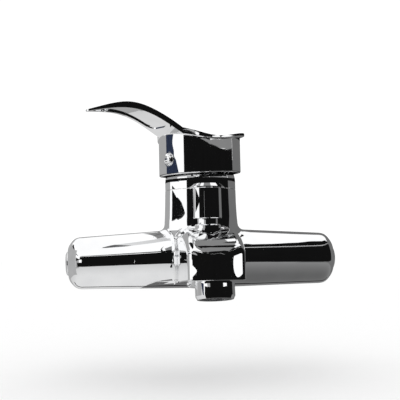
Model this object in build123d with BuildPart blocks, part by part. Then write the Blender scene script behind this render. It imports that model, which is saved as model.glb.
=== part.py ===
"""Single-lever wall mounted bath mixer with a pull-up shower diverter.

Millimetres, +Z up, +Y into the wall. The origin is midway between the two inlets,
on the plane where the union washers meet the pipe ends. The spout points to -Y.
"""

from build123d import *
from math import cos, radians, sin, tan
import os

os.makedirs("parts", exist_ok=True)

# ---------------------------------------------------------------- driving dimensions
inlet_spacing = 150.0
body_y = -36.0  # the arms and the column share this plane

running = 0.06  # radial clearance of a turning or sliding fit
free_gap = 0.3  # clearance between bodies that only pass each other

# cast body
arm_root_r = 20.1
arm_taper = 0.038
arm_root_z = 1.65  # the arm's axis is highest at the middle
arm_drop = 0.022
arm_half = 88.4
arm_shoulder = 79.0
end_flat_r = 8.0
plug_shank_r = 6.4
column_top_r = 23.6
column_foot_r = 24.7
column_top_z = 46.6
junction_fillet = 4.5
nose_fillet = 3.0
spout_reach = 83.5  # column axis to the tip of the nose
nose_root_half = 18.8
nose_tip_half = 17.0
nose_edge_fillet = 6.0
nose_bottom_z = -10.3  # at the tip; it falls to the port's boss behind
nose_heel_z = -14.5
waterway_r = 8.0
arm_cavity_r = 14.0
arm_cavity = (27.0, 79.0)  # how far out along the arm it starts and ends

# inlets
boss_r = 13.4
boss_end_y = -10.0
tail_r = 10.4
tail_bore_r = 6.0
union_thread_r = 12.06  # G 3/4, crest of the internal thread
union_nut_flats = 30.0
union_engagement = 8.0

# cartridge, 40 mm size
chamber_r = 20.6
chamber_floor_z = 13.0
cartridge_r = 20.1
thread_r = 21.6
inlet_port = (9.0, 5.0)  # beside and behind the column axis
outlet_port = 12.0  # ahead of the column axis
port_r = 3.8
disc_z = 20.0  # underside of the fixed disc
disc_thickness = 4.5
moving_disc_r = 13.5
pivot_z = 49.0
ball_z = 34.0
ball_r = 4.0
hub_r = 13.5
hub_top_z = 53.0
stem_r = 5.0
stem_square = 8.0
stem_top_z = 74.5
closed_offset = 2.9  # the moving disc sits this far back when shut

# handle
lever_azimuth = 54.0  # the lever's swing from straight ahead, towards the hot side
rim_z = 57.2
rim_tilt = 2.5
skirt_r = 27.4
skirt_bore_r = 24.9
lip_r = 29.4
lip_shift = 1.5  # the lip overhangs more at the back than at the front
lip_thickness = 1.5
lip_fillet = 1.0
pocket_depth = 0.9  # the lever is hollowed a little underneath
roof_z = 76.0
lever_reach = 91.0
leaf_root_half = 11.8
leaf_half = 10.8
plug_z = 66.2

# pull-up diverter
diverter_y = body_y - 38.0
diverter_seat_z = -2.0
bonnet_foot_z = 10.7
bonnet_r = 7.6
bonnet_seat_z = 20.3
diverter_stem_r = 2.5
knob_foot_z = 26.5
knob_top_z = 48.7
knob_r = 8.9
knob_cap_r = 10.7

# outlets
shower_thread_r = 9.3  # G 1/2, crest of the internal thread
shower_port_top_z = -6.0
shower_boss_z = -16.0
outlet_pitch = 9.5  # the aerator leans forward by this much
outlet_y = body_y - 66.0
outlet_z = -12.2
aerator_r = 11.7
aerator_thread_r = 10.7
aerator_height = 9.9
nipple_length = 4.5
aerator_seat = 6.0  # the insert's flange sits here, under the washer

sides = {"left": -1.0, "right": 1.0}

# ---------------------------------------------------------------- shared planes
lever_dir = Vector(-sin(radians(lever_azimuth)), -cos(radians(lever_azimuth)), 0)
lift_axis = lever_dir.cross(Vector(0, 0, 1))
# local x runs out along the lever; local y runs across it, or up in the side view
lever_plan = Plane(origin=(0, body_y, 0), x_dir=lever_dir, z_dir=(0, 0, 1))
lever_side = Plane(origin=(0, body_y, 0), x_dir=lever_dir, z_dir=lift_axis)
lever_front = Plane(origin=(0, body_y, plug_z), x_dir=(0, 0, 1), z_dir=lever_dir)
column_plan = Plane(origin=(0, body_y, 0), x_dir=(1, 0, 0), z_dir=(0, 0, 1))
column_side = Plane(origin=(0, body_y, 0), x_dir=(1, 0, 0), z_dir=(0, -1, 0))
column_axis = Axis((0, body_y, 0), (0, 0, 1))
diverter_plan = Plane(origin=(0, diverter_y, 0), x_dir=(1, 0, 0), z_dir=(0, 0, 1))
diverter_side = Plane(origin=(0, diverter_y, 0), x_dir=(1, 0, 0), z_dir=(0, -1, 0))
diverter_axis = Axis((0, diverter_y, 0), (0, 0, 1))
outlet_dir = Vector(0, -sin(radians(outlet_pitch)), -cos(radians(outlet_pitch)))
outlet_plane = Plane(origin=(0, outlet_y, outlet_z), x_dir=(1, 0, 0), z_dir=outlet_dir)


def save(piece, name):
    """Label a finished piece and write its STEP file."""
    piece.part.label = name
    export_step(piece.part, f"parts/{name}.step")


def ring(plane, start, length, outer, inner):
    """A plain ring or, with no inner radius, a disc, from start along the plane's normal."""
    with BuildPart() as made:
        with BuildSketch(plane.offset(start)):
            Circle(outer)
            if inner:
                Circle(inner, mode=Mode.SUBTRACT)
        extrude(amount=length)
    return made


def torus(plane, height, centre_r, section_r):
    """An O-ring that lies in the plane, at a height along its normal."""
    with BuildPart() as made:
        with BuildSketch(Plane(plane.offset(height).origin, plane.x_dir, plane.y_dir)):
            with Locations((centre_r, 0)):
                Circle(section_r)
        revolve(axis=Axis(plane.offset(height).origin, plane.z_dir))
    return made


# ---------------------------------------------------------------- cast body
# Nose: a tapering plan with a gently bowed front, under a top that falls to the tip.
nose_side_y = body_y - 64.0
nose_corner_y = body_y - spout_reach + 5.0
with BuildPart() as nose:
    with BuildSketch(Plane.XY.offset(-30)):
        with BuildLine():
            Polyline(
                (-nose_tip_half, nose_corner_y),
                (-nose_tip_half - 0.4, nose_side_y),
                (-nose_root_half, body_y - 2),
                (nose_root_half, body_y - 2),
                (nose_tip_half + 0.4, nose_side_y),
                (nose_tip_half, nose_corner_y),
            )
            ThreePointArc(
                (-nose_tip_half, nose_corner_y),
                (0, body_y - spout_reach),
                (nose_tip_half, nose_corner_y),
            )
        make_face()
    extrude(amount=60)
    fillet(nose.edges().filter_by(Axis.Z).sort_by(Axis.Y)[:2], 5.0)
    with BuildSketch(Plane.YZ):
        with BuildLine():
            crown = Spline(
                (body_y - 2, 19.8),
                (body_y - 45, 19.4),
                (body_y - 70, 14.5),
                (body_y - spout_reach, 2.0),
                tangents=((-1, 0), (-0.25, -1)),
            )
            Polyline(
                crown @ 1,
                (body_y - spout_reach, nose_bottom_z),
                (body_y - 2, nose_heel_z),
                crown @ 0,
            )
        make_face()
    extrude(amount=40, both=True, mode=Mode.INTERSECT)
    crown_face = nose.faces().sort_by(Axis.Z)[-1]
    fillet(crown_face.edges().filter_by(lambda e: abs((e @ 0.5).X) > 5), nose_edge_fillet)
    fillet(nose.edges().filter_by(lambda e: (e @ 0.5).Z < -5 and (e @ 0.5).Y < body_y - 10), 1.0)

# Arms: one turned shape each side, tapering and sinking a little towards a domed end.
with BuildPart() as arms:
    for side in sides.values():
        arm_dir = (side, 0, -arm_drop)
        arm_side = Plane(origin=(0, body_y, arm_root_z), x_dir=arm_dir, z_dir=(0, -side, 0))
        shoulder_r = arm_root_r - arm_taper * arm_shoulder
        with BuildSketch(arm_side):
            with BuildLine():
                Line((0, arm_root_r), (arm_shoulder, shoulder_r))
                dome = Spline(
                    (arm_shoulder, shoulder_r),
                    (83.6, 16.0),
                    (86.4, 13.2),
                    (arm_half, end_flat_r),
                    tangents=((1, -arm_taper), (0.12, -1)),
                )
                Polyline(dome @ 1, (arm_half, 0), (0, 0), (0, arm_root_r))
            make_face()
        revolve(axis=Axis((0, body_y, arm_root_z), arm_dir))

with BuildPart() as body:
    add(arms.part)
    # Column: flares slightly downwards and closes in a bowl under the arms.
    with BuildSketch(column_side):
        with BuildLine():
            bowl = Spline((0, -18.7), (14, -15.8), (22.4, -5), (24.9, 8), tangents=((1, 0), (0, 1)))
            Polyline(
                bowl @ 1,
                (column_foot_r, 20),
                (column_top_r, column_top_z),
                (0, column_top_z),
                bowl @ 0,
            )
        make_face()
    revolve(axis=column_axis)
    fillet(body.edges(Select.NEW), junction_fillet)
    add(nose.part)
    fillet(body.edges(Select.NEW), nose_fillet)
    # Pad for the diverter bonnet, and the boss round the shower port.
    with BuildSketch(diverter_plan.offset(10)):
        Circle(9.4)
    extrude(amount=bonnet_seat_z - 10)
    with BuildSketch(diverter_plan.offset(shower_boss_z)):
        Circle(12.4)
    extrude(amount=10)
    # Inlet bosses reach back towards the wall.
    with BuildSketch(Plane(origin=(0, boss_end_y, 0), x_dir=(1, 0, 0), z_dir=(0, -1, 0))):
        with GridLocations(inlet_spacing, 0, 2, 1):
            Circle(boss_r)
    extrude(amount=boss_end_y - body_y)
    # Outlet nipple for the aerator housing.
    with BuildSketch(outlet_plane.offset(-4)):
        Circle(aerator_thread_r)
    extrude(amount=4 + nipple_length)

    # Cartridge chamber with its thread and ports.
    with BuildSketch(column_plan.offset(chamber_floor_z)):
        Circle(chamber_r)
    extrude(amount=column_top_z, mode=Mode.SUBTRACT)
    with BuildSketch(column_plan.offset(41)):
        Circle(thread_r)
    extrude(amount=20, mode=Mode.SUBTRACT)
    with BuildSketch(column_plan.offset(chamber_floor_z)):
        with Locations((-inlet_port[0], inlet_port[1]), (inlet_port[0], inlet_port[1])):
            Circle(port_r)
    extrude(amount=-11, mode=Mode.SUBTRACT)
    with BuildSketch(column_plan.offset(chamber_floor_z)):
        with Locations((0, -outlet_port)):
            Circle(port_r)
    extrude(amount=-9, mode=Mode.SUBTRACT)
    # Waterways: along each arm, back to the inlets, forward to the diverter.
    for side in sides.values():
        arm_bore = Plane(origin=(0, body_y, arm_root_z), x_dir=(0, side, 0), z_dir=(side, 0, -arm_drop))
        with BuildSketch(arm_bore.offset(3)):
            Circle(waterway_r)
        extrude(amount=arm_cavity[0] - 3, mode=Mode.SUBTRACT)
        with BuildSketch(arm_bore.offset(arm_cavity[0])):
            Circle(arm_cavity_r)
        extrude(amount=arm_cavity[1] - arm_cavity[0], mode=Mode.SUBTRACT)
        with BuildSketch(arm_bore.offset(arm_cavity[1])):
            Circle(plug_shank_r + 0.1)
        extrude(amount=20, mode=Mode.SUBTRACT)
    with BuildSketch(Plane(origin=(0, boss_end_y, 0), x_dir=(1, 0, 0), z_dir=(0, -1, 0))):
        with GridLocations(inlet_spacing, 0, 2, 1):
            Circle(tail_r)
    extrude(amount=boss_end_y - body_y, mode=Mode.SUBTRACT)
    with BuildSketch(Plane(origin=(0, body_y - outlet_port, 4.5), x_dir=(1, 0, 0), z_dir=(0, -1, 0))):
        Circle(3.6)
    extrude(amount=body_y - outlet_port - diverter_y, mode=Mode.SUBTRACT)
    # Diverter valve: chamber, bonnet thread, lower seat and the shower port under it.
    with BuildSketch(diverter_plan.offset(diverter_seat_z)):
        Circle(7.0)
    extrude(amount=bonnet_foot_z - diverter_seat_z, mode=Mode.SUBTRACT)
    with BuildSketch(diverter_plan.offset(bonnet_foot_z)):
        Circle(bonnet_r)
    extrude(amount=20, mode=Mode.SUBTRACT)
    with BuildSketch(diverter_plan.offset(diverter_seat_z)):
        Circle(4.6)
    extrude(amount=-5, mode=Mode.SUBTRACT)
    with BuildSketch(diverter_plan.offset(shower_port_top_z)):
        Circle(shower_thread_r)
    extrude(amount=-20, mode=Mode.SUBTRACT)
    # Spout way: forward from the bonnet, then down to the aerator.
    with BuildSketch(Plane(origin=(0, diverter_y, 13), x_dir=(1, 0, 0), z_dir=(0, -1, 0))):
        Circle(2.3)
    extrude(amount=23.5, mode=Mode.SUBTRACT)
    with BuildSketch(outlet_plane.offset(-25.5)):
        Circle(3.2)
    extrude(amount=20, mode=Mode.SUBTRACT)
    with BuildSketch(outlet_plane.offset(-8)):
        Circle(8.6)
    extrude(amount=20, mode=Mode.SUBTRACT)
save(body, "body")

# ---------------------------------------------------------------- inlets
for name, side in sides.items():
    wall_plane = Plane(origin=(side * inlet_spacing / 2, 0, 0), x_dir=(1, 0, 0), z_dir=(0, 1, 0))
    wall_side = Plane(origin=(side * inlet_spacing / 2, 0, 0), x_dir=(1, 0, 0), z_dir=(0, 0, 1))
    inlet_axis = Axis((side * inlet_spacing / 2, 0, 0), (0, 1, 0))

    # Tail: screwed into the boss, its flange traps the union nut.
    with BuildPart() as inlet_tail:
        with BuildSketch(wall_side):
            with BuildLine():
                Polyline(
                    (tail_bore_r, -23),
                    (tail_r - 0.6, -23),
                    (tail_r, -22.4),
                    (tail_r, -4.9),
                    (11.7, -4.9),
                    (11.7, -1.8),
                    (tail_bore_r, -1.8),
                    close=True,
                )
            make_face()
        revolve(axis=inlet_axis)
        with BuildSketch(wall_plane.offset(-1.8)):
            RegularPolygon(6.0, 6, major_radius=False)
        extrude(amount=-9, mode=Mode.SUBTRACT)
    save(inlet_tail, f"inlet_tail_{name}")

    with BuildPart() as union_nut:
        with BuildSketch(wall_plane.offset(-8)):
            RegularPolygon(union_nut_flats / 2, 6, major_radius=False)
        extrude(amount=8 + union_engagement)
        # Both ends of the hexagon are turned to a cone.
        with BuildSketch(wall_side):
            with BuildLine():
                Polyline(
                    (0, -8),
                    (15.0, -8),
                    (17.8, -6.4),
                    (17.8, union_engagement - 1.6),
                    (15.0, union_engagement),
                    (0, union_engagement),
                    close=True,
                )
            make_face()
        revolve(axis=inlet_axis, mode=Mode.INTERSECT)
        with BuildSketch(wall_plane.offset(-8)):
            Circle(tail_r + running)
        extrude(amount=4, mode=Mode.SUBTRACT)
        with BuildSketch(wall_plane.offset(-5)):
            Circle(12.3)
        extrude(amount=5, mode=Mode.SUBTRACT)
        with BuildSketch(wall_plane):
            Circle(union_thread_r)
        extrude(amount=union_engagement, mode=Mode.SUBTRACT)
    save(union_nut, f"union_nut_{name}")

    save(ring(wall_plane, -1.8, 1.8, 11.7, 7.6), f"inlet_washer_{name}")

    # Strainer: a perforated disc with a rim, held in the washer's bore.
    with BuildPart() as strainer:
        with BuildSketch(wall_plane.offset(-1.75)):
            Circle(7.5)
            with HexLocations(0.9, 7, 7, major_radius=False):
                Circle(0.55, mode=Mode.SUBTRACT)
        extrude(amount=0.5)
        with BuildSketch(wall_plane.offset(-1.25)):
            Circle(7.5)
            Circle(6.7, mode=Mode.SUBTRACT)
        extrude(amount=1.0)
    save(strainer, f"inlet_strainer_{name}")

    # End plug: closes the arm's bore, with a low domed head over the flat end.
    arm_end = Plane(
        origin=(side * arm_half, body_y, arm_root_z - arm_drop * arm_half),
        x_dir=(0, side, 0),
        z_dir=(side, 0, -arm_drop),
    )
    end_side = Plane(origin=arm_end.origin, x_dir=arm_end.x_dir, z_dir=arm_end.x_dir.cross(arm_end.z_dir))
    with BuildPart() as end_plug:
        with BuildSketch(arm_end.offset(-8)):
            Circle(plug_shank_r)
        extrude(amount=8.1)
        with BuildSketch(end_side):
            with BuildLine():
                Line((0, 0.1), (7.8, 0.1))
                Line((7.8, 0.1), (7.8, 0.4))
                Spline((7.8, 0.4), (0, 1.3), tangents=((-0.6, 0.8), (-1, 0)))
                Line((0, 1.3), (0, 0.1))
            make_face()
        revolve(axis=Axis(arm_end.origin, arm_end.z_dir))
    save(end_plug, f"end_plug_{name}")

# ---------------------------------------------------------------- cartridge
with BuildPart() as port_seals:
    with BuildSketch(column_plan.offset(chamber_floor_z)):
        with Locations(
            (-inlet_port[0], inlet_port[1]), (inlet_port[0], inlet_port[1]), (0, -outlet_port)
        ):
            Circle(port_r + 1.6)
            Circle(port_r, mode=Mode.SUBTRACT)
    extrude(amount=2.2)
save(port_seals, "port_seals")

with BuildPart() as cartridge_base:
    with BuildSketch(column_plan.offset(chamber_floor_z + 0.2)):
        Circle(cartridge_r - 0.1)
    extrude(amount=disc_z - chamber_floor_z - 0.2)
    with BuildSketch(column_plan.offset(chamber_floor_z)):
        with Locations(
            (-inlet_port[0], inlet_port[1]), (inlet_port[0], inlet_port[1]), (0, -outlet_port)
        ):
            Circle(port_r + 1.6)
    extrude(amount=2.2, mode=Mode.SUBTRACT)
    with BuildSketch(column_plan.offset(chamber_floor_z)):
        with Locations(
            (-inlet_port[0], inlet_port[1]), (inlet_port[0], inlet_port[1]), (0, -outlet_port)
        ):
            Circle(port_r)
    extrude(amount=12, mode=Mode.SUBTRACT)
save(cartridge_base, "cartridge_base")

with BuildPart() as fixed_disc:
    with BuildSketch(column_plan.offset(disc_z)):
        Circle(17.2)
        with Locations((-inlet_port[0], inlet_port[1]), (inlet_port[0], inlet_port[1])):
            SlotOverall(9.0, 5.4, rotation=90, mode=Mode.SUBTRACT)
        with Locations((0, -10.5)):
            SlotOverall(10.5, 6.4, mode=Mode.SUBTRACT)
    extrude(amount=disc_thickness)
save(fixed_disc, "fixed_disc")

moving_disc_z = disc_z + disc_thickness
with BuildPart() as moving_disc:
    with BuildSketch(lever_plan.offset(moving_disc_z)):
        with Locations((-closed_offset, 0)):
            Circle(moving_disc_r)
    extrude(amount=4)
    # The mixing recess opens downwards.
    with BuildSketch(lever_plan.offset(moving_disc_z)):
        with Locations((-closed_offset - 1, 0)):
            RectangleRounded(15, 17, 5)
    extrude(amount=2, mode=Mode.SUBTRACT)
save(moving_disc, "moving_disc")

carrier_z = moving_disc_z + 4
with BuildPart() as disc_carrier:
    with BuildSketch(lever_plan.offset(carrier_z)):
        with Locations((-closed_offset, 0)):
            Circle(moving_disc_r)
    extrude(amount=2)
    with BuildSketch(lever_plan.offset(carrier_z + 2)):
        with Locations((-closed_offset, 0)):
            Rectangle(17.4, 20)
    extrude(amount=7)
    # Socket for the stem's ball, widened above so that the finger can lean.
    with BuildSketch(lever_plan.offset(carrier_z + 1.2)):
        Circle(ball_r + 0.35)
    extrude(amount=10, mode=Mode.SUBTRACT)
    with BuildSketch(lever_plan.offset(ball_z + 1.4)):
        SlotOverall(11.4, 8.7)
    extrude(amount=10, mode=Mode.SUBTRACT)
save(disc_carrier, "disc_carrier")

rotor_z = carrier_z + 2.3
with BuildPart() as stem_rotor:
    with BuildSketch(column_plan.offset(rotor_z)):
        Circle(17.5)
    extrude(amount=40 - rotor_z)
    with BuildSketch(column_plan.offset(40)):
        Circle(hub_r)
    extrude(amount=hub_top_z - 40)
    # Guide for the disc carrier.
    with BuildSketch(lever_plan.offset(rotor_z)):
        Rectangle(24.0, 20.2)
    extrude(amount=38 - rotor_z, mode=Mode.SUBTRACT)
    # Slot that the stem swings in.
    with BuildSketch(lever_side):
        with BuildLine():
            Polyline(
                (-8.0, hub_top_z + 1),
                (-6.6, pivot_z),
                (-5.6, 45),
                (-5.0, 37),
                (9.6, 37),
                (8.4, 44),
                (6.6, pivot_z),
                (5.8, hub_top_z + 1),
                close=True,
            )
        make_face()
    extrude(amount=stem_r + free_gap, both=True, mode=Mode.SUBTRACT)
    with BuildSketch(lever_side):
        with Locations((0, pivot_z)):
            Circle(1.5)
    extrude(amount=20, both=True, mode=Mode.SUBTRACT)
save(stem_rotor, "stem_rotor")

with BuildPart() as pivot_pin:
    with BuildSketch(lever_side):
        with Locations((0, pivot_z)):
            Circle(1.5)
    extrude(amount=12.6, both=True)
save(pivot_pin, "pivot_pin")

with BuildPart() as lever_stem:
    with BuildSketch(lever_plan.offset(44.5)):
        Circle(stem_r)
    extrude(amount=12.5)
    with BuildSketch(lever_plan.offset(57)):
        Rectangle(stem_square, stem_square)
    extrude(amount=stem_top_z - 57)
    chamfer(lever_stem.faces().sort_by(Axis.Z)[-1].edges(), 0.8)
    with BuildSketch(lever_plan.offset(ball_z)):
        Circle(3.1)
    extrude(amount=44.5 - ball_z)
    with Locations(Pos(0, body_y, ball_z)):
        Sphere(ball_r)
    with BuildSketch(lever_side):
        with Locations((0, pivot_z)):
            Circle(1.5 + running)
    extrude(amount=20, both=True, mode=Mode.SUBTRACT)
save(lever_stem, "lever_stem")

with BuildPart() as cartridge_housing:
    with BuildSketch(column_side):
        with BuildLine():
            Polyline(
                (17.8, disc_z),
                (cartridge_r, disc_z),
                (cartridge_r, 43.4),
                (hub_r + running, 43.4),
                (hub_r + running, 40.4),
                (17.8, 40.4),
                close=True,
            )
        make_face()
    revolve(axis=column_axis)
save(cartridge_housing, "cartridge_housing")

with BuildPart() as retaining_nut:
    with BuildSketch(column_plan.offset(43.4)):
        Circle(thread_r - 0.05)
    extrude(amount=7)
    with BuildSketch(column_plan.offset(50.4)):
        RegularPolygon(16.5, 6, major_radius=False)
    extrude(amount=2.6)
    with BuildSketch(column_plan.offset(43.4)):
        Circle(14.3)
    extrude(amount=12, mode=Mode.SUBTRACT)
save(retaining_nut, "retaining_nut")

# Dome cap: screwed over the nut, it hides the cartridge under the handle.
with BuildPart() as dome_cap:
    with BuildSketch(column_side):
        with BuildLine():
            Polyline(
                (thread_r, column_top_z + 0.1),
                (23.2, column_top_z + 0.1),
                (23.55, column_top_z + 0.5),
                (23.55, 51.5),
            )
            outer = Spline(
                (23.55, 51.5),
                (22.7, 57),
                (20.4, 61.2),
                (16.2, 64.0),
                tangents=((0, 1), (-1, 0.4)),
            )
            Line(outer @ 1, (16.2, 62.4))
            inner = Spline(
                (16.2, 62.4),
                (19.0, 60.3),
                (21.1, 56.6),
                (thread_r, 51.5),
                tangents=((1, -0.4), (0, -1)),
            )
            Line(inner @ 1, (thread_r, column_top_z + 0.1))
        make_face()
    revolve(axis=column_axis)
save(dome_cap, "dome_cap")

# ---------------------------------------------------------------- handle
# The top is one wave: up at the back lip, down over the skirt, up and over to the tip.
wave_points = [
    (-34, 85.0),
    (-8, 82.7),
    (12, 80.7),
    (28, 87.4),
    (46, 95.0),
    (65, 98.5),
    (lever_reach + 1, 92.0),
]
belly_points = [(24, 81.6), (40, 88.8), (60, 94.3), (73, 94.2), (lever_reach + 1, 91.2)]
wave_tangents = ((1, -0.02), (1, -0.36))

# Leaf: the whole plan outline, as thick as the lip behind and as the blade in front.
with BuildPart() as leaf:
    with BuildSketch(lever_plan.offset(60)):
        with Locations((-lip_shift, 0)):
            Circle(lip_r)
        with BuildLine():
            Polyline(
                (66, leaf_half),
                (20, leaf_root_half + 0.6),
                (20, -leaf_root_half - 0.6),
                (66, -leaf_half),
            )
            Spline(
                (66, leaf_half),
                (80, 8.2),
                (lever_reach, 0),
                (80, -8.2),
                (66, -leaf_half),
                tangents=((1, -0.02), (-1, -0.02)),
            )
        make_face()
    extrude(amount=50)
    with BuildSketch(lever_side):
        with BuildLine():
            wave = Spline(*wave_points, tangents=wave_tangents)
            belly = Spline(*belly_points, tangents=((1, 0.42), (1, -0.2)))
            lip_under = Spline(
                (-34, 85.0 - lip_thickness),
                (-8, 82.7 - lip_thickness),
                (12, 80.7 - lip_thickness),
                belly @ 0,
                tangents=((1, -0.02), (1, 0.42)),
            )
            Line(wave @ 0, lip_under @ 0)
            Line(wave @ 1, belly @ 1)
        make_face()
    extrude(amount=40, both=True, mode=Mode.INTERSECT)

with BuildPart() as pocket:
    with BuildSketch(lever_plan.offset(60)):
        with BuildLine():
            Polyline(
                (66, leaf_half - 2.4),
                (34, leaf_root_half - 2.4),
                (34, -leaf_root_half + 2.4),
                (66, -leaf_half + 2.4),
            )
            Spline(
                (66, leaf_half - 2.4),
                (78, 5.6),
                (lever_reach - 5, 0),
                (78, -5.6),
                (66, -leaf_half + 2.4),
                tangents=((1, -0.05), (-1, -0.05)),
            )
        make_face()
    extrude(amount=50)
    fillet(pocket.edges().filter_by(Axis.Z).group_by(Axis((0, 0, 0), tuple(lever_dir)))[0], 6.0)
    with BuildSketch(lever_side):
        with BuildLine():
            roof = Spline(*[(u, z + pocket_depth) for u, z in belly_points], tangents=((1, 0.42), (1, -0.2)))
            Polyline(roof @ 0, (24, 60), (lever_reach + 1, 60), roof @ 1)
        make_face()
    extrude(amount=30, both=True, mode=Mode.INTERSECT)

with BuildPart() as handle:
    # Skirt: a plain drum under the wave.
    with BuildSketch(lever_plan.offset(rim_z - 3)):
        Circle(skirt_r)
    extrude(amount=90 - rim_z + 3)
    with BuildSketch(lever_side):
        with BuildLine():
            under_wave = Spline(*[(u, z - 0.8) for u, z in wave_points], tangents=wave_tangents)
            Polyline(under_wave @ 0, (-34, 40), (lever_reach + 1, 40), under_wave @ 1)
        make_face()
    extrude(amount=40, both=True, mode=Mode.INTERSECT)
    add(leaf.part)
    fillet(
        handle.edges(Select.NEW).filter_by(lambda e: (Vector(e @ 0.5) - lever_plan.origin).dot(lever_dir) < 24),
        lip_fillet,
    )
    add(pocket.part, mode=Mode.SUBTRACT)
    # The rim is cut slightly lower on the lever's side.
    split(
        bisect_by=Plane(
            origin=(0, body_y, rim_z),
            x_dir=lift_axis,
            z_dir=Vector(0, 0, 1) + lever_dir * tan(radians(rim_tilt)),
        ),
        keep=Keep.TOP,
    )
    fillet(handle.faces().sort_by(Axis.Z)[0].edges(), 0.9)
    # Hollow, with a boss that takes the square stem.
    with BuildSketch(lever_plan.offset(rim_z - 5)):
        Circle(skirt_bore_r)
    extrude(amount=roof_z - rim_z + 5, mode=Mode.SUBTRACT)
    with BuildSketch(lever_plan.offset(62)):
        with Locations((3, 0)):
            Rectangle(20, 14)
    extrude(amount=roof_z - 62 + 1)
    with BuildSketch(lever_plan.offset(62)):
        Rectangle(stem_square + 0.1, stem_square + 0.1)
    extrude(amount=stem_top_z - 62 + 0.3, mode=Mode.SUBTRACT)
    # Screw hole through the boss, and the plug's seat in the skirt.
    with BuildSketch(lever_front):
        Circle(2.5)
    extrude(amount=20, mode=Mode.SUBTRACT)
    with BuildSketch(lever_front.offset(20)):
        Circle(3.6)
    extrude(amount=10, mode=Mode.SUBTRACT)
    with BuildSketch(lever_front.offset(26.6)):
        Circle(4.9)
    extrude(amount=5, mode=Mode.SUBTRACT)
save(handle, "handle")

with BuildPart() as grub_screw:
    with BuildSketch(lever_front.offset(stem_square / 2)):
        Circle(2.5)
    extrude(amount=8)
    chamfer(grub_screw.edges(), 0.4)
    with BuildSketch(lever_front.offset(stem_square / 2 + 8)):
        RegularPolygon(1.25, 6, major_radius=False)
    extrude(amount=-3, mode=Mode.SUBTRACT)
save(grub_screw, "grub_screw")

with BuildPart() as index_plug:
    with BuildSketch(lever_front.offset(24)):
        Circle(3.55)
    extrude(amount=2.6)
    with BuildSketch(lever_side.shift_origin(Vector(0, body_y, plug_z))):
        with BuildLine():
            Polyline((26.6, 0), (26.6, 4.8), (27.3, 4.8), (27.3, 4.3))
            Spline((27.3, 4.3), (29.9, 0), tangents=((1, -0.2), (0, -1)))
            Line((29.9, 0), (26.6, 0))
        make_face()
    revolve(axis=Axis((0, body_y, plug_z), tuple(lever_dir)))
save(index_plug, "index_plug")

# ---------------------------------------------------------------- diverter
with BuildPart() as diverter_bonnet:
    with BuildSketch(diverter_side):
        with BuildLine():
            Polyline(
                (4.4, bonnet_foot_z),
                (bonnet_r, bonnet_foot_z),
                (bonnet_r, 11.5),
                (6.2, 11.5),
                (6.2, 15.2),
                (bonnet_r, 15.2),
                (bonnet_r, 17.2),
                (6.6, 17.2),
                (6.6, 18.8),
                (bonnet_r, 18.8),
                (bonnet_r, bonnet_seat_z),
                (8.25, bonnet_seat_z),
                (8.25, 22.2),
                (7.7, 22.8),
                (6.2, 22.8),
                (6.2, 35.4),
                (5.6, 36.0),
                (diverter_stem_r + running, 36.0),
                (diverter_stem_r + running, 26.0),
                (4.2, 26.0),
                (4.2, 24.2),
                (diverter_stem_r + running, 24.2),
                (diverter_stem_r + running, 17.0),
                (4.4, 17.0),
                close=True,
            )
        make_face()
    revolve(axis=diverter_axis)
    # Windows that let the water out to the spout.
    for turn in (0, 90):
        window_dir = (sin(radians(turn)), cos(radians(turn)), 0)
        with BuildSketch(Plane(origin=(0, diverter_y, 13.4), x_dir=(0, 0, 1), z_dir=window_dir)):
            Circle(1.5)
        extrude(amount=7, both=True, mode=Mode.SUBTRACT)
save(diverter_bonnet, "diverter_bonnet")

save(torus(diverter_plan, 18.0, 7.1, 0.48), "bonnet_o_ring")
save(torus(diverter_plan, 25.1, 3.38, 0.8), "stem_o_ring")

with BuildPart() as diverter_stem:
    with BuildSketch(diverter_plan.offset(diverter_seat_z + 1.5)):
        Circle(6.3)
    extrude(amount=2.5)
    with BuildSketch(diverter_plan.offset(diverter_seat_z + 4)):
        Circle(diverter_stem_r)
    extrude(amount=46 - diverter_seat_z - 4)
    with BuildSketch(diverter_plan.offset(diverter_seat_z + 1.5)):
        Circle(1.25)
    extrude(amount=6, mode=Mode.SUBTRACT)
save(diverter_stem, "diverter_stem")

save(ring(diverter_plan, diverter_seat_z, 1.5, 6.2, 1.5), "lower_valve_washer")
save(ring(diverter_plan, diverter_seat_z + 4, 1.5, 6.2, diverter_stem_r), "upper_valve_washer")

with BuildPart() as valve_screw:
    with BuildSketch(diverter_plan.offset(diverter_seat_z - 1.6)):
        Circle(2.9)
    extrude(amount=1.6)
    with BuildSketch(diverter_plan.offset(diverter_seat_z)):
        Circle(1.25)
    extrude(amount=6)
    with BuildSketch(diverter_plan.offset(diverter_seat_z - 1.6)):
        Rectangle(6.5, 0.8)
    extrude(amount=0.8, mode=Mode.SUBTRACT)
save(valve_screw, "valve_screw")

# Return spring between the upper washer and the bonnet's gland.
spring_foot_z = diverter_seat_z + 5.5 + 0.5
spring_length = 17.0 - 0.5 - spring_foot_z
with BuildPart() as diverter_spring:
    with BuildLine():
        coil = Helix(
            pitch=spring_length / 6, height=spring_length, radius=3.45, center=(0, diverter_y, spring_foot_z)
        )
    with BuildSketch(Plane(origin=coil @ 0, z_dir=coil % 0)):
        Circle(0.42)
    sweep()
save(diverter_spring, "diverter_spring")

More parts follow.
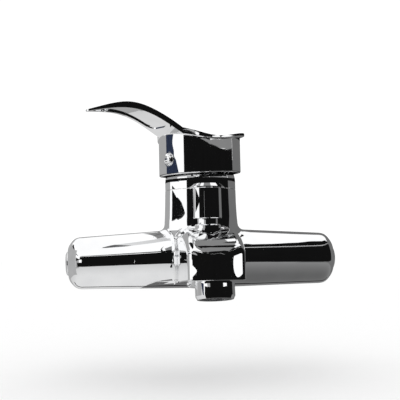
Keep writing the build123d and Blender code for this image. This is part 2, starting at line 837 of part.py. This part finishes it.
with BuildPart() as diverter_knob:
    with BuildSketch(diverter_side):
        with BuildLine():
            Polyline(
                (6.6, knob_foot_z),
                (knob_r - 0.3, knob_foot_z),
                (knob_r, knob_foot_z + 0.3),
                (knob_r - 0.2, 45.2),
                (knob_cap_r - 0.3, 45.2),
                (knob_cap_r, 45.5),
                (knob_cap_r, 46.2),
                (8.3, 48.2),
            )
            Spline((8.3, 48.2), (0, knob_top_z), tangents=((-1, 0.12), (-1, 0)))
            Polyline((0, knob_top_z), (0, 46), (diverter_stem_r, 46), (diverter_stem_r, 37.4))
            Polyline((diverter_stem_r, 37.4), (6.6, 37.4), (6.6, knob_foot_z))
        make_face()
    revolve(axis=diverter_axis)
save(diverter_knob, "diverter_knob")

# ---------------------------------------------------------------- aerator
with BuildPart() as aerator_housing:
    with BuildSketch(outlet_plane.offset(0.25)):
        Circle(aerator_r)
    extrude(amount=aerator_height - 0.25)
    rim = aerator_housing.faces().sort_by(Axis(outlet_plane.origin, tuple(outlet_dir)))[-1].edges()
    chamfer(rim, 2.0, 1.0)
    with BuildSketch(outlet_plane):
        Circle(aerator_thread_r)
    extrude(amount=aerator_seat, mode=Mode.SUBTRACT)
    with BuildSketch(outlet_plane.offset(aerator_seat)):
        Circle(10.0)
    extrude(amount=2.4, mode=Mode.SUBTRACT)
    with BuildSketch(outlet_plane.offset(aerator_seat)):
        Circle(9.2)
    extrude(amount=aerator_height, mode=Mode.SUBTRACT)
save(aerator_housing, "aerator_housing")

washer_thickness = aerator_seat - nipple_length
save(ring(outlet_plane, nipple_length, washer_thickness, aerator_thread_r - 0.1, 8.2), "aerator_washer")

with BuildPart() as aerator_insert:
    with BuildSketch(outlet_plane.offset(aerator_seat)):
        Circle(10.0)
    extrude(amount=2.4)
    with BuildSketch(outlet_plane.offset(aerator_seat)):
        Circle(9.1)
    extrude(amount=3.0)
    with BuildSketch(outlet_plane.offset(aerator_seat)):
        with HexLocations(1.15, 7, 7, major_radius=False):
            Circle(0.8)
    extrude(amount=6, mode=Mode.SUBTRACT)
save(aerator_insert, "aerator_insert")
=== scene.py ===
"""Looks of the wall mounted bath mixer: studio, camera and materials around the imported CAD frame."""

import bpy
from math import cos, radians, sin
from mathutils import Matrix, Vector


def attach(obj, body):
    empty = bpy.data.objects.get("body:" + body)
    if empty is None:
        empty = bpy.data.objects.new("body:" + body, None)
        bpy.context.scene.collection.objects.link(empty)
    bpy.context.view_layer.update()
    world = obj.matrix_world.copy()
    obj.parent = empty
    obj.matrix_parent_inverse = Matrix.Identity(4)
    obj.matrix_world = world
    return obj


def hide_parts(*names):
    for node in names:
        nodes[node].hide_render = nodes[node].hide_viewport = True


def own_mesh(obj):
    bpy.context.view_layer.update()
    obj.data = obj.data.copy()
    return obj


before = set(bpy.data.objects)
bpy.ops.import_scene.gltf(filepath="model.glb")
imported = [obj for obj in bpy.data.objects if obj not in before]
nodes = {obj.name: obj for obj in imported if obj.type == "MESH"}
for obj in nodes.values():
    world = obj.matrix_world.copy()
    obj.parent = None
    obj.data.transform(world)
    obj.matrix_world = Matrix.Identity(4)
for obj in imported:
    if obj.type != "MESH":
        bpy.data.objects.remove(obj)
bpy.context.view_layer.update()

MM = 0.001
# The object hangs on a wall, so the floor is well under it; every card is placed round the column's foot.
column_foot = Vector((0.0, -36.0, 20.0)) * MM
floor_z = -75.0 * MM


def direction(azimuth, elevation):
    """Unit vector from the object; azimuth 0 is straight in front and positive is to the right."""
    a, e = radians(azimuth), radians(elevation)
    return Vector((sin(a) * cos(e), -cos(a) * cos(e), sin(e)))


def link(obj):
    bpy.context.scene.collection.objects.link(obj)
    return obj


# ---------------------------------------------------------------- camera
camera_azimuth = -6.35    # the camera stands a little to the left
camera_elevation = -1.24  # and just under the column's middle
camera_distance = 526.5 * MM
camera_pan = 0.04
camera_tilt = -2.22       # it looks up past the column
camera_roll = -1.21
lens_mm = 70.54


def make_camera():
    data = bpy.data.cameras.new("camera")
    data.lens = lens_mm
    data.sensor_width = 36.0
    camera = link(bpy.data.objects.new("camera", data))
    camera.location = column_foot + direction(camera_azimuth, camera_elevation) * camera_distance
    back = direction(camera_azimuth + camera_pan, camera_elevation + camera_tilt)
    right = Vector((0, 0, 1)).cross(back).normalized()
    up = back.cross(right)
    turn = Matrix((right, up, back)).transposed() @ Matrix.Rotation(radians(camera_roll), 3, "Z")
    camera.rotation_euler = turn.to_euler()
    bpy.context.scene.camera = camera


make_camera()
bpy.context.scene.view_settings.view_transform = "Standard"


# ---------------------------------------------------------------- material helpers
def new_material(name):
    made = bpy.data.materials.new(name)
    made.use_nodes = True
    return made, made.node_tree


def add_node(tree, kind, **settings):
    """New node; each setting is a property of the node or else an input, by name."""
    node = tree.nodes.new(kind)
    for key, value in settings.items():
        if hasattr(node, key):
            setattr(node, key, value)
        else:
            node.inputs[key.replace("_", " ")].default_value = value
    return node


def grey(value):
    """Linear grey from a display value, 0 to 255."""
    v = value / 255
    v = v / 12.92 if v <= 0.04045 else ((v + 0.055) / 1.055) ** 2.4
    return (v, v, v, 1.0)


# ---------------------------------------------------------------- studio
table_edge_z = -0.35


def glow(name, colour, mottle=None, low_z=None):
    """Light-emitting card surface.

    Mottle is a second colour, mixed in by soft noise or, with low_z, from the table's edge down to low_z.
    """
    made, tree = new_material(name)
    tree.nodes.remove(tree.nodes["Principled BSDF"])
    emission = add_node(tree, "ShaderNodeEmission", Color=colour)
    tree.links.new(emission.outputs[0], tree.nodes["Material Output"].inputs["Surface"])
    if mottle:
        where = add_node(tree, "ShaderNodeTexCoord")
        noise = add_node(tree, "ShaderNodeTexNoise", Scale=60.0, Detail=4.0)
        mix = add_node(tree, "ShaderNodeMix", data_type="RGBA")
        mix.inputs[6].default_value = colour
        mix.inputs[7].default_value = mottle
        tree.links.new(where.outputs["Object"], noise.inputs["Vector"])
        amount = noise.outputs["Fac"]
        if low_z:
            height = add_node(tree, "ShaderNodeSeparateXYZ")
            fade = add_node(tree, "ShaderNodeMapRange")
            fade.inputs["From Min"].default_value = table_edge_z
            fade.inputs["From Max"].default_value = low_z
            tree.links.new(where.outputs["Object"], height.inputs[0])
            tree.links.new(height.outputs["Z"], fade.inputs["Value"])
            amount = fade.outputs["Result"]
        tree.links.new(amount, mix.inputs[0])
        tree.links.new(mix.outputs[2], emission.inputs["Color"])
    return made


def reflection_card(name, rows, surface):
    """A card that only shows in reflections: a grid of points, row by row."""
    wide = len(rows[0])
    points = [tuple(p) for row in rows for p in row]
    faces = [
        (r * wide + c, r * wide + c + 1, (r + 1) * wide + c + 1, (r + 1) * wide + c)
        for r in range(len(rows) - 1)
        for c in range(wide - 1)
    ]
    mesh = bpy.data.meshes.new(name)
    mesh.from_pydata(points, [], faces)
    mesh.materials.append(surface)
    card = link(bpy.data.objects.new(name, mesh))
    card.visible_camera = False
    card.visible_diffuse = False
    card.visible_shadow = False
    card.visible_transmission = False


def sky_card(name, azimuths, elevations, distance, surface, steps=24):
    """Part of a sphere round the column's foot, between two azimuths and two elevations."""
    rows = []
    for r in range(steps + 1):
        elevation = elevations[0] + (elevations[1] - elevations[0]) * r / steps
        row = []
        for c in range(steps + 1):
            azimuth = azimuths[0] + (azimuths[1] - azimuths[0]) * c / steps
            row.append(column_foot + direction(azimuth, elevation) * distance)
        rows.append(row)
    reflection_card(name, rows, surface)


def screen(name, stations, surface):
    """A standing card. Each station is x, y, bottom and top, in millimetres."""
    low = [Vector((x, y, bottom)) * MM for x, y, bottom, top in stations]
    high = [Vector((x, y, top)) * MM for x, y, bottom, top in stations]
    reflection_card(name, [low, high], surface)


def arc(centre, radius, first, last, bottom, top, steps=18):
    """Stations of a standing card bent round a point, between two azimuths."""
    stations = []
    for step in range(steps + 1):
        out = direction(first + (last - first) * step / steps, 0) * radius
        stations.append((centre[0] + out.x, centre[1] + out.y, bottom, top))
    return stations


world_strength = 1.08
floor_half = 6.0
panel_radius = 136
wedge_radius = 133
wedge_z = 46


def make_world():
    world = bpy.data.worlds.new("studio")
    bpy.context.scene.world = world
    world.use_nodes = True
    background = world.node_tree.nodes["Background"]
    background.inputs["Color"].default_value = (1, 1, 1, 1)
    background.inputs["Strength"].default_value = world_strength


def make_floor():
    mesh = bpy.data.meshes.new("floor")
    corners = [
        (-floor_half, -floor_half),
        (floor_half, -floor_half),
        (floor_half, floor_half),
        (-floor_half, floor_half),
    ]
    mesh.from_pydata([(x, y, floor_z) for x, y in corners], [], [(0, 1, 2, 3)])
    made, tree = new_material("floor")
    bsdf = tree.nodes["Principled BSDF"]
    where = add_node(tree, "ShaderNodeTexCoord")
    speckle = add_node(tree, "ShaderNodeTexNoise", Scale=180.0, Detail=5.0)
    shade = add_node(tree, "ShaderNodeMix", data_type="RGBA")
    shade.inputs[6].default_value = (0.92, 0.92, 0.92, 1)
    shade.inputs[7].default_value = (0.94, 0.94, 0.94, 1)
    tree.links.new(where.outputs["Object"], speckle.inputs["Vector"])
    tree.links.new(speckle.outputs["Fac"], shade.inputs[0])
    tree.links.new(shade.outputs[2], bsdf.inputs["Base Color"])
    bsdf.inputs["Roughness"].default_value = 1.0
    bsdf.inputs["Specular IOR Level"].default_value = 0.0
    mesh.materials.append(made)
    floor = link(bpy.data.objects.new("floor", mesh))
    floor.visible_glossy = False


def make_cards():
    """The studio round the object, as the photographed chrome mirrors it."""
    white = glow("softbox", (1.1, 1.1, 1.1, 1))
    pale = glow("pale_wall", grey(172), grey(160))
    dull = glow("grey_wall", grey(116), grey(106))
    mid = glow("mid_grey", grey(134))
    black = glow("black_flag", grey(20), grey(15))
    navy = glow("navy_flag", (0.004, 0.006, 0.012, 1), (0.045, 0.06, 0.11, 1))
    # Painted light: one table as two glowing copies, a lit one on the left and a shaded one on the right.
    lit_table = glow("lit_table", grey(206), grey(228), -1.3)
    shaded_table = glow("shaded_table", grey(138), grey(100), -1.5)

    # Far walls, the strips on the left, and the table with painted light: lit on the left by the softbox
    # and in shade on the right.
    sky_card("left_wall", (-180, -20), (-20, 30), 1.50, pale)
    sky_card("right_wall", (98, 180), (-20, 45), 1.50, dull)
    sky_card("right_wall_low", (20, 100), (-20, 8), 1.45, dull)
    sky_card("left_softbox", (-88, -51), (-15, 40), 1.40, white)
    navy_start = -113
    navy_distance = 1.3
    navy_steps = 12
    navy_rows = []
    for elevation, end in ((5.0, -60), (7.2, -68), (8.6, -78), (10.0, -87), (11.2, -82), (12.2, -70)):
        row = []
        for step in range(navy_steps + 1):
            azimuth = navy_start + (end - navy_start) * step / navy_steps
            row.append(column_foot + direction(azimuth, elevation) * navy_distance)
        navy_rows.append(row)
    reflection_card("navy_strip", navy_rows, navy)
    sky_card("left_table", (-180, 5), (-90, -14), 1.60, lit_table, 32)
    sky_card("right_table", (5, 180), (-90, -14), 1.60, shaded_table, 32)

    # The long black flag in front, near the right arm and further off on the left.
    flag = [
        (-108, -257, -58, 115.0),
        (-60, -243, -55, 107),
        (-12, -204, -45, 98.2),
        (44.5, -158.5, -32, 88.4),
        (89, -122, -24, 84.5),
        (107, -107, -20, 85.0),
    ]
    screen("front_flag", flag, black)
    screen("left_flag", [(-349, -330, 62, 150), (-108, -257, 62, 115)], black)
    screen("side_flag", [(107, -107, -20, 85), (139, -82, -18, 87), (205, -29, -14, 96)], black)
    ledge = [
        (-12, -204, 98.2, 98.3),
        (44.5, -158.5, 88.4, 91.4),
        (89, -122, 84.5, 91.6),
        (139, -82, 87, 97),
        (205, -29, 96, 110),
    ]
    screen("grey_ledge", ledge, mid)

    # The lip and the side of the lever see black above the white.
    rail = [
        (-349, -330, 150, 160),
        (-124, -262, 119.8, 128),
        (-12, -204, 100.6, 120),
        (30, -170, 95.6, 160),
        (44.5, -158.5, 93.8, 170),
        (66, -140, 94.0, 138),
        (89, -122, 94.2, 142),
        (115, -101, 96.7, 165),
        (139, -82, 99.0, 210),
        (205, -29, 109.5, 210),
    ]
    screen("lip_rail", rail, black)
    screen("lever_flag", [(170, -105, 109, 165), (170, -215, 109, 165), (110, -273, 127, 178)], black)

    screen("lip_flag", arc((0, -36), 45, 25, 130, 83.5, 118), black)

    screen("skirt_shade", arc((0, -36), 34, -130, 130, 53.6, 57), black)
    arch = (
        ((-38, 82), -240, 100),
        ((-36, 78), -238, 125),
        ((-26, 66), -234, 157),
        ((-12, 50), -230, 192),
        ((4, 32), -228, 215),
    )
    rows = [[Vector((x, y, z)) * MM for x in span] for span, y, z in arch]
    reflection_card("nose_arch", rows, black)

    # Over the spout: grey, with a black card between.
    for name, span, ends, surface in (
        ("canopy_front", (-32, 70), ((-262, 98), (-130, 330)), mid),
        ("canopy_middle", (-32, 70), ((-130, 330), (-70, 330)), black),
        ("canopy_back", (-40, 60), ((-70, 330), (400, 330)), mid),
    ):
        rows = [[Vector((x, y, z)) * MM for x in span] for y, z in ends]
        reflection_card(name, rows, surface)

    # Left of the column: a white panel with a black wedge.
    column = column_foot.to_2d() / MM
    panel = []
    wedge = []
    for azimuth in range(-114, -46, 3):
        out = direction(azimuth, 0).to_2d()
        panel.append((*(column + out * panel_radius), 28, 66))
    for step in range(17):
        azimuth = -104 + 51 * step / 16
        out = direction(azimuth, 0).to_2d()
        half = 1 - step / 16
        low = wedge_z - 8 * half ** 0.7
        high = wedge_z + 13 * half ** 0.8
        wedge.append((*(column + out * wedge_radius), low, high))
    screen("white_panel", panel, white)
    screen("black_wedge", wedge, black)

    # Small cards beside the spout, the knob, the outlet and the arms' ends.
    rows = []
    for step in range(13):
        angle = radians(180 * step / 12)
        width = sin(angle)
        z = -2 + 8 * cos(angle)
        rows.append([Vector((36.7 - 5.0 * width, -137.7 - 6.2 * width, z)) * MM,
                     Vector((38.7 + 6.0 * width, -137.7 + 8.5 * width, z)) * MM])
    reflection_card("spout_card_right", rows, white)
    screen("spout_card_left", [(-49, -122, -18, 7), (-51, -165, -6.6, -6.4)], white)
    screen("knob_flag", [(-30, -86, 27, 56), (-30, -125, 27, 56)], black)
    screen("outlet_flag", arc((0, -95), 32, -45, 75, -45, -10.6), black)
    screen("left_end_card", arc((-82, -36), 25, -22, -150, -20, 26), glow("end_card", grey(186), grey(166)))
    screen("low_flag_left", [(-108, -257, -58, 12), (-200, -235, -58, 12)], black)
    # Painted shadow: a black strip behind and below the arms, seen only in the chrome, standing in for
    # their shadow on the table.
    screen("contact_shadow_strip", [(-300, 150, -262, -205), (300, 150, -262, -205)], black)


make_world()
make_floor()
make_cards()


# ---------------------------------------------------------------- object materials
def texture(tree, scale, detail, stretch=(1, 1, 1)):
    """Noise over a piece's own coordinates, squeezed along its axes."""
    where = add_node(tree, "ShaderNodeTexCoord")
    mapping = add_node(tree, "ShaderNodeMapping", Scale=stretch)
    noise = add_node(tree, "ShaderNodeTexNoise", Scale=scale, Detail=detail)
    tree.links.new(where.outputs["Object"], mapping.inputs["Vector"])
    tree.links.new(mapping.outputs["Vector"], noise.inputs["Vector"])
    return noise.outputs["Fac"]


def spots(tree, scale, size):
    """1 inside small scattered round spots, 0 elsewhere."""
    where = add_node(tree, "ShaderNodeTexCoord")
    cells = add_node(tree, "ShaderNodeTexVoronoi", Scale=scale)
    edge = add_node(tree, "ShaderNodeMapRange")
    edge.inputs["From Min"].default_value = size
    edge.inputs["From Max"].default_value = size * 0.6
    tree.links.new(where.outputs["Object"], cells.inputs["Vector"])
    tree.links.new(cells.outputs["Distance"], edge.inputs["Value"])
    return edge.outputs["Result"]


def spread(tree, source, start, end, low, high):
    """Map a texture from start..end to low..high."""
    mapped = add_node(tree, "ShaderNodeMapRange")
    mapped.inputs["From Min"].default_value = start
    mapped.inputs["From Max"].default_value = end
    mapped.inputs["To Min"].default_value = low
    mapped.inputs["To Max"].default_value = high
    tree.links.new(source, mapped.inputs["Value"])
    return mapped.outputs["Result"]


def total(tree, *terms):
    """Sum of texture outputs."""
    result = terms[0]
    for term in terms[1:]:
        add = add_node(tree, "ShaderNodeMath", operation="ADD")
        tree.links.new(result, add.inputs[0])
        tree.links.new(term, add.inputs[1])
        result = add.outputs[0]
    return result


def tint(tree, source, dark, light, start=0.35, end=0.65):
    """Colour from dark to light as a texture goes from start to end."""
    ramp = add_node(tree, "ShaderNodeValToRGB")
    ramp.color_ramp.elements[0].position = start
    ramp.color_ramp.elements[0].color = (*dark, 1)
    ramp.color_ramp.elements[1].position = end
    ramp.color_ramp.elements[1].color = (*light, 1)
    tree.links.new(source, ramp.inputs["Fac"])
    return ramp.outputs["Color"]


def relief(tree, source, strength, depth_mm, under=None):
    """Bump from a texture, on top of the relief given by under."""
    bump = add_node(tree, "ShaderNodeBump", Strength=strength, Distance=depth_mm * MM)
    tree.links.new(source, bump.inputs["Height"])
    if under:
        tree.links.new(under, bump.inputs["Normal"])
    return bump.outputs["Normal"]


def plating(name, dark, light, polish, spot_size=0.05, milled=None):
    """Chrome: a slightly wavy casting, wiping marks, fine hairlines and dried water spots."""
    made, tree = new_material(name)
    bsdf = tree.nodes["Principled BSDF"]
    bsdf.inputs["Metallic"].default_value = 1.0
    haze = texture(tree, scale=70.0, detail=5.0)
    wiped = texture(tree, scale=160.0, detail=6.0, stretch=(0.4, 1.0, 3.0))
    hairs = texture(tree, scale=900.0, detail=3.0, stretch=(0.05, 1.0, 1.6))
    dried = spots(tree, scale=190.0, size=spot_size)
    tree.links.new(tint(tree, haze, dark, light), bsdf.inputs["Base Color"])
    roughness = total(
        tree,
        spread(tree, wiped, 0.40, 0.70, polish, polish + 0.03),
        spread(tree, hairs, 0.66, 0.76, 0.0, 0.10),
        spread(tree, dried, 0.0, 1.0, 0.0, 0.22),
    )
    tree.links.new(roughness, bsdf.inputs["Roughness"])
    waves = relief(tree, texture(tree, scale=60.0, detail=1.0), strength=0.6, depth_mm=0.05)
    marks = relief(tree, total(tree, hairs, dried), strength=0.05, depth_mm=0.01, under=waves)
    if milled:
        lines = texture(tree, scale=500.0, detail=2.0, stretch=milled)
        marks = relief(tree, lines, strength=0.25, depth_mm=0.02, under=marks)
    tree.links.new(marks, bsdf.inputs["Normal"])
    return made


def finish(name, dark, light, rough, grain, stretch=(1, 1, 1), metallic=0.0, depth_mm=0.03, worn=0.0):
    """Cloudy colour, uneven roughness, fine relief and rubbed patches."""
    made, tree = new_material(name)
    bsdf = tree.nodes["Principled BSDF"]
    bsdf.inputs["Metallic"].default_value = metallic
    clouds = texture(tree, scale=110.0, detail=6.0)
    fine = texture(tree, scale=grain, detail=6.0, stretch=stretch)
    rubbed = texture(tree, scale=45.0, detail=8.0)
    shade = total(tree, spread(tree, clouds, 0.3, 0.7, 0.1, 0.6), spread(tree, fine, 0.3, 0.7, 0.0, 0.4))
    tree.links.new(tint(tree, shade, dark, light, 0.2, 0.9), bsdf.inputs["Base Color"])
    roughness = total(
        tree,
        spread(tree, fine, 0.3, 0.7, rough[0], rough[1]),
        spread(tree, rubbed, 0.56, 0.68, 0.0, worn),
    )
    tree.links.new(roughness, bsdf.inputs["Roughness"])
    tree.links.new(relief(tree, fine, strength=0.35, depth_mm=depth_mm), bsdf.inputs["Normal"])
    return made


def make_finishes():
    """One finish for each material slot of the record."""
    return {
        "chrome": plating(
            "polished_chrome",
            dark=(0.90, 0.905, 0.915),
            light=(0.955, 0.96, 0.965),
            polish=0.015,
        ),
        "chrome_handle": plating(
            "polished_chrome_handle",
            dark=(0.90, 0.905, 0.91),
            light=(0.96, 0.96, 0.965),
            polish=0.012,
            spot_size=0.04,
        ),
        "chrome_nut": plating(
            "milled_chrome",
            dark=(0.80, 0.81, 0.82),
            light=(0.89, 0.895, 0.90),
            polish=0.06,
            spot_size=0.06,
            milled=(1, 12, 1),
        ),
        "brass": finish(
            "turned_brass",
            dark=(0.60, 0.40, 0.16),
            light=(0.83, 0.62, 0.31),
            rough=(0.18, 0.34),
            grain=500.0,
            stretch=(1, 1, 14),
            metallic=1.0,
            depth_mm=0.02,
            worn=0.12,
        ),
        "steel": finish(
            "brushed_steel",
            dark=(0.46, 0.46, 0.47),
            light=(0.68, 0.68, 0.69),
            rough=(0.20, 0.36),
            grain=700.0,
            stretch=(14, 1, 1),
            metallic=1.0,
            depth_mm=0.01,
            worn=0.10,
        ),
        "rubber": finish(
            "matt_rubber",
            dark=(0.016, 0.016, 0.017),
            light=(0.05, 0.05, 0.052),
            rough=(0.62, 0.82),
            grain=900.0,
            worn=-0.12,
        ),
        "cartridge_plastic": finish(
            "acetal_white",
            dark=(0.74, 0.74, 0.69),
            light=(0.88, 0.88, 0.85),
            rough=(0.36, 0.52),
            grain=650.0,
            depth_mm=0.02,
            worn=-0.10,
        ),
        "rotor_plastic": finish(
            "glass_filled_nylon",
            dark=(0.075, 0.08, 0.095),
            light=(0.17, 0.18, 0.20),
            rough=(0.40, 0.60),
            grain=800.0,
            worn=-0.10,
        ),
        "ceramic": finish(
            "lapped_ceramic",
            dark=(0.80, 0.79, 0.755),
            light=(0.91, 0.90, 0.875),
            rough=(0.10, 0.18),
            grain=700.0,
            depth_mm=0.005,
            worn=0.08,
        ),
        "aerator_plastic": finish(
            "acetal_dark",
            dark=(0.055, 0.055, 0.06),
            light=(0.14, 0.14, 0.145),
            rough=(0.38, 0.56),
            grain=750.0,
            worn=-0.08,
        ),
    }


finishes = make_finishes()
for node in nodes.values():
    slot = node.data.materials[0].name
    node.data.materials[0] = finishes[slot]


def make_return_spring():
    """The diverter's spring, which bears against the bonnet, as a copy on the fixed body in place of the
    imported coil.
    """
    coil = nodes["diverter_spring"]
    spring = link(bpy.data.objects.new("return_spring", coil.data.copy()))
    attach(spring, "fixed")
    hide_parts("diverter_spring")
    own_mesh(spring)


make_return_spring()
